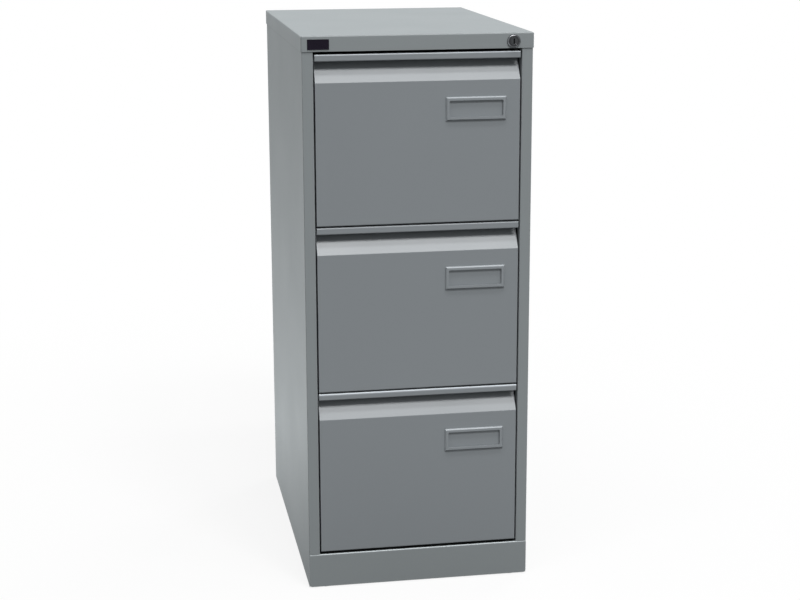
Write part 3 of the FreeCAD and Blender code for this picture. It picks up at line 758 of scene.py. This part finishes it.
def finish_piece(
    mesh: bmesh.types.BMesh,
    name: str,
    material: bpy.types.Material,
    body: str,
) -> bpy.types.Object:
    """Turn a bmesh into a piece that rides on a body.

    Args:
        mesh: The shape, in its place; it is freed.
        name: Name of the piece.
        material: Its finish.
        body: The body that it moves with.

    Returns:
        The piece.
    """
    bmesh.ops.recalc_face_normals(mesh, faces=mesh.faces)
    for face in mesh.faces:
        face.smooth = True
    for edge in mesh.edges:
        edge.smooth = edge.is_manifold and edge.calc_face_angle(0.0) < SHARP_ANGLE
    data = bpy.data.meshes.new(name)
    mesh.to_mesh(data)
    mesh.free()
    data.materials.append(material)
    piece = bpy.data.objects.new(name, data)
    bpy.context.scene.collection.objects.link(piece)
    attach(piece, body)
    log.info("built %s on %s, %d faces", name, body, len(data.polygons))
    return piece


def bevelled(mesh: bmesh.types.BMesh, edges: Iterable[bmesh.types.BMEdge], size: float, steps: int) -> None:
    """Round some edges.

    Args:
        mesh: The shape.
        edges: The edges to round.
        size: Width of the rounding.
        steps: Number of its faces across.
    """
    bmesh.ops.bevel(
        mesh,
        geom=list(edges),
        offset=size,
        offset_type="OFFSET",
        affect="EDGES",
        segments=steps,
        profile=0.5,
        material=-1,
        clamp_overlap=True,
    )


def spun(
    mesh: bmesh.types.BMesh,
    points: Sequence[Vector],
    closed: bool,
    centre: Vector,
    axis: Axis,
    steps: int,
) -> None:
    """Turn a chain of points once about an axis.

    Args:
        mesh: The shape to add to.
        points: The chain, in order.
        closed: Whether its last point is joined to its first.
        centre: A point of the axis.
        axis: The direction of the axis.
        steps: Number of faces round.
    """
    chain = [mesh.verts.new(point) for point in points]
    following = chain[1:] + chain[:1] if closed else chain[1:]
    edges = [mesh.edges.new(pair) for pair in zip(chain, following)]
    bmesh.ops.spin(
        mesh,
        geom=chain + edges,
        cent=centre,
        axis=axis.unit,
        angle=FULL_TURN,
        steps=steps,
        use_merge=True,
    )
    bmesh.ops.remove_doubles(mesh, verts=mesh.verts, dist=MERGE_REACH)


def turned(outline: Sequence[Pair], centre: Pair, steps: int) -> bmesh.types.BMesh:
    """Turn a closed section about an axis along Y.

    Args:
        outline: Radius and Y of each corner of the section.
        centre: X and Z of the axis.
        steps: Number of faces round.

    Returns:
        The turned shape.
    """
    mesh = bmesh.new()
    axis_x, axis_z = centre
    points = [Vector((axis_x, along, axis_z + radius)) for radius, along in outline]
    spun(mesh, points, True, Vector((axis_x, 0.0, axis_z)), Axis.Y, steps)
    return mesh


@dataclass
class BadgePlate:
    """A small blank plate with a raised rim, stuck to the front of the cap."""

    left: float = -0.1953
    right: float = -0.1573
    low: float = 0.9925
    high: float = 1.0103
    thickness: float = 1.1 * MM
    corner: float = 0.9 * MM
    corner_steps: int = 4
    edge: float = 0.33 * MM
    edge_steps: int = 2
    rim: float = 0.7 * MM
    recess: float = 0.3 * MM

    def build(self, finishes: FinishBook) -> None:
        """Build the plate.

        Args:
            finishes: The finishes to choose from.
        """
        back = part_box("top_panel")[0].y
        size = Vector((self.right - self.left, self.thickness, self.high - self.low))
        middle = Vector(((self.left + self.right) / 2, back - self.thickness / 2, (self.low + self.high) / 2))
        mesh = bmesh.new()
        bmesh.ops.create_cube(mesh, size=1.0, matrix=Matrix.LocRotScale(middle, None, size))
        corners = [edge for edge in mesh.edges if self.runs_deep(edge)]
        bevelled(mesh, corners, self.corner, self.corner_steps)
        bevelled(mesh, self.face(mesh).edges, self.edge, self.edge_steps)
        face = self.face(mesh)
        bmesh.ops.inset_individual(mesh, faces=[face], thickness=self.rim)
        bmesh.ops.inset_individual(mesh, faces=[face], thickness=self.recess, depth=-self.recess)
        finish_piece(mesh, "badge_plate", finishes.badge_plastic, "case")

    def runs_deep(self, edge: bmesh.types.BMEdge) -> bool:
        """Whether an edge runs from the plate's face to its back."""
        first, last = edge.verts
        return abs(first.co.y - last.co.y) > self.thickness / 2

    @staticmethod
    def face(mesh: bmesh.types.BMesh) -> bmesh.types.BMFace:
        """The plate's front face."""
        return min(mesh.faces, key=lambda face: face.calc_center_median().y)


@dataclass
class Case:
    """The fixed sheet-steel shell, its uprights and its glides."""

    painted: tuple[str, ...] = (
        "top_panel",
        "back_panel",
        "base_panel",
        "front_uprights",
        "rear_uprights",
    )
    welded: tuple[str, ...] = ("left_side_panel", "right_side_panel")
    badge: BadgePlate = field(default_factory=BadgePlate)

    def build(self, finishes: FinishBook) -> None:
        """Dress the shell and build what is stuck to it.

        Args:
            finishes: The finishes to choose from.
        """
        dress(finishes.case_paint, self.painted)
        dress(finishes.welded_paint, self.welded)
        dress(finishes.plinth_paint, ["plinth"])
        dress(finishes.glide_plastic, ["floor_glides"])
        self.badge.build(finishes)


@dataclass
class RivetRow:
    """Domed rivet heads inside a tray, which hold the inner rails.

    The dome is given from its rim to its top, as shares of the radius and of the height.
    """

    radius: float = 3.6 * MM
    height: float = 1.3 * MM
    tray_wall: float = 0.8 * MM
    places: tuple[float, ...] = (-0.235, -0.09, 0.075, 0.225)
    dome: tuple[Pair, ...] = ((1.0, 0.0), (0.98, 0.30), (0.72, 0.78), (0.38, 0.96), (0.0, 1.0))
    steps: int = 16

    def build(self, drawer: int, finishes: FinishBook) -> None:
        """Build the heads along both sides of one drawer.

        Args:
            drawer: Number of the drawer, from the top.
            finishes: The finishes to choose from.
        """
        mesh = bmesh.new()
        for side in Side:
            rail_low, rail_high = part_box(f"drawer_{drawer}_{side.word}_inner_rail")
            level = (rail_low.z + rail_high.z) / 2
            wall = min(abs(rail_low.x), abs(rail_high.x)) - self.tray_wall
            for along in self.places:
                self.head(mesh, Vector((side.value * wall, along, level)), -side.value)
        finish_piece(mesh, f"drawer_{drawer}_rivets", finishes.rail_zinc, f"drawer_{drawer}")

    def head(self, mesh: bmesh.types.BMesh, foot: Vector, way: int) -> None:
        """Add one head.

        Args:
            mesh: The shape to add to.
            foot: Middle of the head's flat side.
            way: Sign of the X that the head stands out to.
        """
        points = [
            foot + Vector((way * self.height * rise, 0.0, self.radius * share)) for share, rise in self.dome
        ]
        spun(mesh, points, False, foot, Axis.X, self.steps)


@dataclass
class Drawer:
    """One drawer: its front, tray, card holder, catch and inner rails."""

    number: int
    rivets: RivetRow = field(default_factory=RivetRow)

    def build(self, finishes: FinishBook) -> None:
        """Dress the drawer and add its rivets.

        Args:
            finishes: The finishes to choose from.
        """
        stem = f"drawer_{self.number}"
        dress(finishes.front_paint[self.number], [f"{stem}_front"])
        dress(finishes.drawer_paint, [f"{stem}_{part}" for part in ("liner", "tray", "back")])
        dress(finishes.holder_paint, [f"{stem}_card_holder"])
        dress(finishes.bar_zinc, [f"{stem}_catch"])
        dress(finishes.rail_zinc, [f"{stem}_{side.word}_inner_rail" for side in Side])
        self.rivets.build(self.number, finishes)


@dataclass
class Runner:
    """The rails and ball cages of one drawer that don't belong to the drawer itself."""

    number: int

    def build(self, finishes: FinishBook) -> None:
        """Dress the rails and cages.

        Args:
            finishes: The finishes to choose from.
        """
        stem = f"runner_{self.number}"
        rails = [f"{stem}_{side.word}_{kind}_rail" for side in Side for kind in ("outer", "middle")]
        cages = [f"{stem}_{kind}_ball_cages" for kind in ("outer", "inner")]
        dress(finishes.rail_zinc, rails + cages)


@dataclass
class LockHousing:
    """The turned housing that stands for the CAD's: a flat bevel with its edges eased."""

    body_radius: float = 0.0095
    bore_radius: float = 0.00808
    bevel: float = 0.0022
    ease: float = 0.00025
    steps: int = 72

    def build(self, finishes: FinishBook) -> None:
        """Build the housing.

        Args:
            finishes: The finishes to choose from.
        """
        low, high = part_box("lock_housing")
        mesh = turned(self.outline((high.x - low.x) / 2, low.y, high.y), Lock.centre(), self.steps)
        piece = finish_piece(mesh, "lock_housing_turned", finishes.lock_nickel, "case")
        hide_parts("lock_housing")

    def outline(self, radius: float, front: float, back: float) -> list[Pair]:
        """Half of the housing's section.

        Args:
            radius: Radius of the flange.
            front: Y of its face.
            back: Y of the rear end.

        Returns:
            Radius and Y of each corner.
        """
        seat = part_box("top_panel")[0].y
        return [
            (self.bore_radius, back),
            (self.bore_radius, front + self.ease),
            (self.bore_radius + self.ease, front),
            (radius - self.bevel - self.ease, front),
            (radius - self.bevel + self.ease, front + self.ease),
            (radius - self.ease, front + self.bevel - self.ease),
            (radius, front + self.bevel + self.ease),
            (radius, seat),
            (self.body_radius, seat),
            (self.body_radius, back),
        ]


@dataclass
class PlugRing:
    """A low raised ring round the keyway, on the face of the plug."""

    inner: float = 0.0052
    outer: float = 0.0074
    height: float = 0.0004
    steps: int = 64

    def build(self, finishes: FinishBook) -> None:
        """Build the ring.

        Args:
            finishes: The finishes to choose from.
        """
        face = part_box("lock_barrel")[0].y
        outline = [
            (self.inner, face),
            (self.inner + self.height, face - self.height),
            (self.outer - self.height, face - self.height),
            (self.outer, face),
        ]
        mesh = turned(outline, Lock.centre(), self.steps)
        finish_piece(mesh, "lock_plug_ring", finishes.plug_black, "lock_cylinder")


@dataclass
class Lock:
    """The cylinder lock in the cap, and the bar that it lifts."""

    housing: LockHousing = field(default_factory=LockHousing)
    ring: PlugRing = field(default_factory=PlugRing)

    def build(self, finishes: FinishBook) -> None:
        """Dress the lock and build what shows at its front.

        Args:
            finishes: The finishes to choose from.
        """
        self.housing.build(finishes)
        self.ring.build(finishes)
        dress(finishes.plug_black, ["lock_barrel"])
        dress(finishes.bar_zinc, ["lock_nut", "lock_cam", "cam_screw", "lock_bar", "lock_hooks"])
        dress(finishes.guide_nylon, ["lock_bar_guides"])

    @staticmethod
    def centre() -> Pair:
        """X and Z of the lock's axis."""
        low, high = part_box("lock_housing")
        return (low.x + high.x) / 2, (low.z + high.z) / 2


@dataclass(frozen=True)
class Softbox:
    """A large flat lamp; its size is across and deep."""

    name: str
    place: Point
    size: Pair
    watts: float
    aim: Point = (0.0, -0.3, 0.6)

    def make(self) -> None:
        """Hang the lamp."""
        data = bpy.data.lights.new(self.name, "AREA")
        data.shape = "RECTANGLE"
        data.size, data.size_y = self.size
        data.energy = self.watts
        lamp = bpy.data.objects.new(self.name, data)
        ray = Vector(self.aim) - Vector(self.place)
        lamp.matrix_world = Matrix.LocRotScale(Vector(self.place), ray.to_track_quat("-Z", "Y"), None)
        bpy.context.scene.collection.objects.link(lamp)


@dataclass(frozen=True)
class Viewpoint:
    """Where the photograph was taken from; angles in degrees, picture lengths in pixels."""

    place: Point = (-0.5409, -3.2368, 1.2748)
    yaw: float = 9.823
    pitch: float = -13.180
    roll: float = -0.164
    focal: float = 1703.2
    rise: float = -20.0
    sensor: float = 36.0

    def make(self) -> None:
        """Set up the camera."""
        data = bpy.data.cameras.new("camera")
        data.sensor_width = self.sensor
        data.lens = self.focal / PICTURE_WIDTH * self.sensor
        data.shift_y = self.rise / PICTURE_WIDTH
        camera = bpy.data.objects.new("camera", data)
        turn = Matrix.Rotation(math.radians(-self.yaw), 4, "Z")
        turn = turn @ Matrix.Rotation(math.radians(LEVEL_DEGREES + self.pitch), 4, "X")
        turn = turn @ Matrix.Rotation(math.radians(self.roll), 4, "Z")
        camera.matrix_world = Matrix.Translation(self.place) @ turn
        bpy.context.scene.collection.objects.link(camera)
        bpy.context.scene.camera = camera


@dataclass
class Studio:
    """A white floor, a white surround, soft lamps and the camera."""

    floor_reach: float = 14.0
    floor_colour: Colour = (0.80, 0.80, 0.80)
    floor_dim: Colour = (0.08, 0.08, 0.08)
    floor_glow: float = 0.84
    # front_foot to far_power: painted shade round the cabinet's foot and a painted falloff far away, in the
    # floor glow that the cabinet's gloss shows
    front_foot: Point = (0.0, -0.3, 0.0)
    near_gloss: float = 0.25
    near_rise: float = 0.71
    far_start: float = 1.07
    far_power: float = -0.36
    shadow_reach: Pair = (0.4, 2.2)
    ambient: float = 0.44
    mirror: float = 0.87
    floor_mirror: float = 1.30
    cool_white: Colour = (0.948, 1.0, 1.017)
    viewpoint: Viewpoint = field(default_factory=Viewpoint)
    lamps: tuple[Softbox, ...] = (
        Softbox("key_box", place=(0.0, -8.01, 9.79), size=(2.4, 2.4), watts=355.0),
        Softbox("right_box", place=(2.89, -7.45, 9.79), size=(2.4, 2.4), watts=450.0),
        Softbox("high_box", place=(-1.0, -3.61, 12.14), size=(12.0, 1.2), watts=540.0, aim=(-1.0, -0.3, 0.6)),
        Softbox("left_box", place=(-5.12, 2.65, 1.64), size=(1.5, 1.5), watts=15.0),
        Softbox("rear_box", place=(4.20, 4.20, 1.60), size=(2.0, 2.0), watts=130.0, aim=(0.0, 0.1, 0.6)),
    )

    def build(self) -> None:
        """Build the floor, the surround, the lamps and the camera."""
        self.lay_floor()
        self.surround()
        for lamp in self.lamps:
            lamp.make()
        self.viewpoint.make()
        bpy.context.scene.view_settings.view_transform = "Standard"

    @staticmethod
    def rays(shader: Shader) -> tuple[Signal, Signal]:
        """Tell the rays that show the surround to the eye from those that light the cabinet.

        Args:
            shader: The tree to add to.

        Returns:
            One for a ray that comes straight from the eye, and one for a ray that a gloss sends on.
        """
        path = shader.node("ShaderNodeLightPath")
        camera = Signal(shader, path.outputs["Is Camera Ray"])
        through = Signal(shader, path.outputs["Is Transmission Ray"])
        return camera.most(through), Signal(shader, path.outputs["Is Glossy Ray"])

    def lay_floor(self) -> None:
        """Lay the floor that the cabinet stands on."""
        mesh = bmesh.new()
        bmesh.ops.create_grid(mesh, x_segments=1, y_segments=1, size=self.floor_reach)
        data = bpy.data.meshes.new("floor")
        mesh.to_mesh(data)
        mesh.free()
        data.materials.append(self.floor_white())
        floor = bpy.data.objects.new("floor", data)
        bpy.context.scene.collection.objects.link(floor)

    def floor_white(self) -> bpy.types.Material:
        """Make a finish that shows white and keeps a soft shadow, but sends little light back up.

        Returns:
            The floor's material.
        """
        material, shader = new_material("floor_white")
        matt = shader.node("ShaderNodeBsdfDiffuse", None, {"Color": opaque(self.floor_colour)})
        dim = shader.node("ShaderNodeBsdfDiffuse", None, {"Color": opaque(self.floor_dim)})
        glow = shader.node("ShaderNodeEmission", None, {"Color": opaque(WHITE), "Strength": 1.0})
        cool = {"Color": opaque(self.cool_white), "Strength": self.floor_mirror}
        mirrored = shader.node("ShaderNodeEmission", None, cool)
        straight, glossy = self.rays(shader)
        open_floor = shader.apart(ORIGIN).fade(*self.shadow_reach)
        seen = shader.blended(self.floor_glow + open_floor * (1.0 - self.floor_glow), matt, glow)
        # the glow that the gloss sees carries painted shade at the foot and a painted falloff far away
        around = shader.blended(glossy * self.floor_gloss(shader), dim, mirrored)
        blend = shader.blended(straight, around, seen)
        shader.node("ShaderNodeOutputMaterial", None, {"Surface": blend.outputs[0]})
        return material

    def floor_gloss(self, shader: Shader) -> Signal:
        """How bright the floor is in the cabinet's gloss, with a painted shade round its front foot and a
        painted falloff far away.

        Args:
            shader: The tree to add to.

        Returns:
            The share of the full brightness.
        """
        apart = shader.apart(self.front_foot)
        near = (self.near_gloss + apart * self.near_rise).least(1.0)
        far = (apart / self.far_start).most(1.0) ** self.far_power
        return near * far

    def surround(self) -> None:
        """Make the world white to the eye, and a plain soft light to the cabinet."""
        world = bpy.data.worlds.new("surround")
        world.use_nodes = True
        bpy.context.scene.world = world
        shader = Shader(world.node_tree)
        straight, glossy = self.rays(shader)
        soft = shader.node("ShaderNodeBackground", None, {"Color": opaque(WHITE), "Strength": self.ambient})
        bright = shader.node("ShaderNodeBackground", None, {"Color": opaque(WHITE), "Strength": 1.0})
        cool = {"Color": opaque(self.cool_white), "Strength": self.mirror}
        mirrored = shader.node("ShaderNodeBackground", None, cool)
        around = shader.blended(glossy, soft, mirrored)
        blend = shader.blended(straight, around, bright)
        shader.node("ShaderNodeOutputWorld", None, {"Surface": blend.outputs[0]})


def main() -> None:
    """Build the cabinet's looks and the studio around it."""
    finishes = FinishBook(Lock.centre(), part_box("top_panel")[0].z)
    assemblies = [Case(), Lock()]
    assemblies += [Drawer(number) for number in DRAWER_NUMBERS]
    assemblies += [Runner(number) for number in DRAWER_NUMBERS]
    for assembly in assemblies:
        assembly.build(finishes)
        log.info("finished %s", assembly)
    Studio().build()


if __name__ == "__main__":
    main()
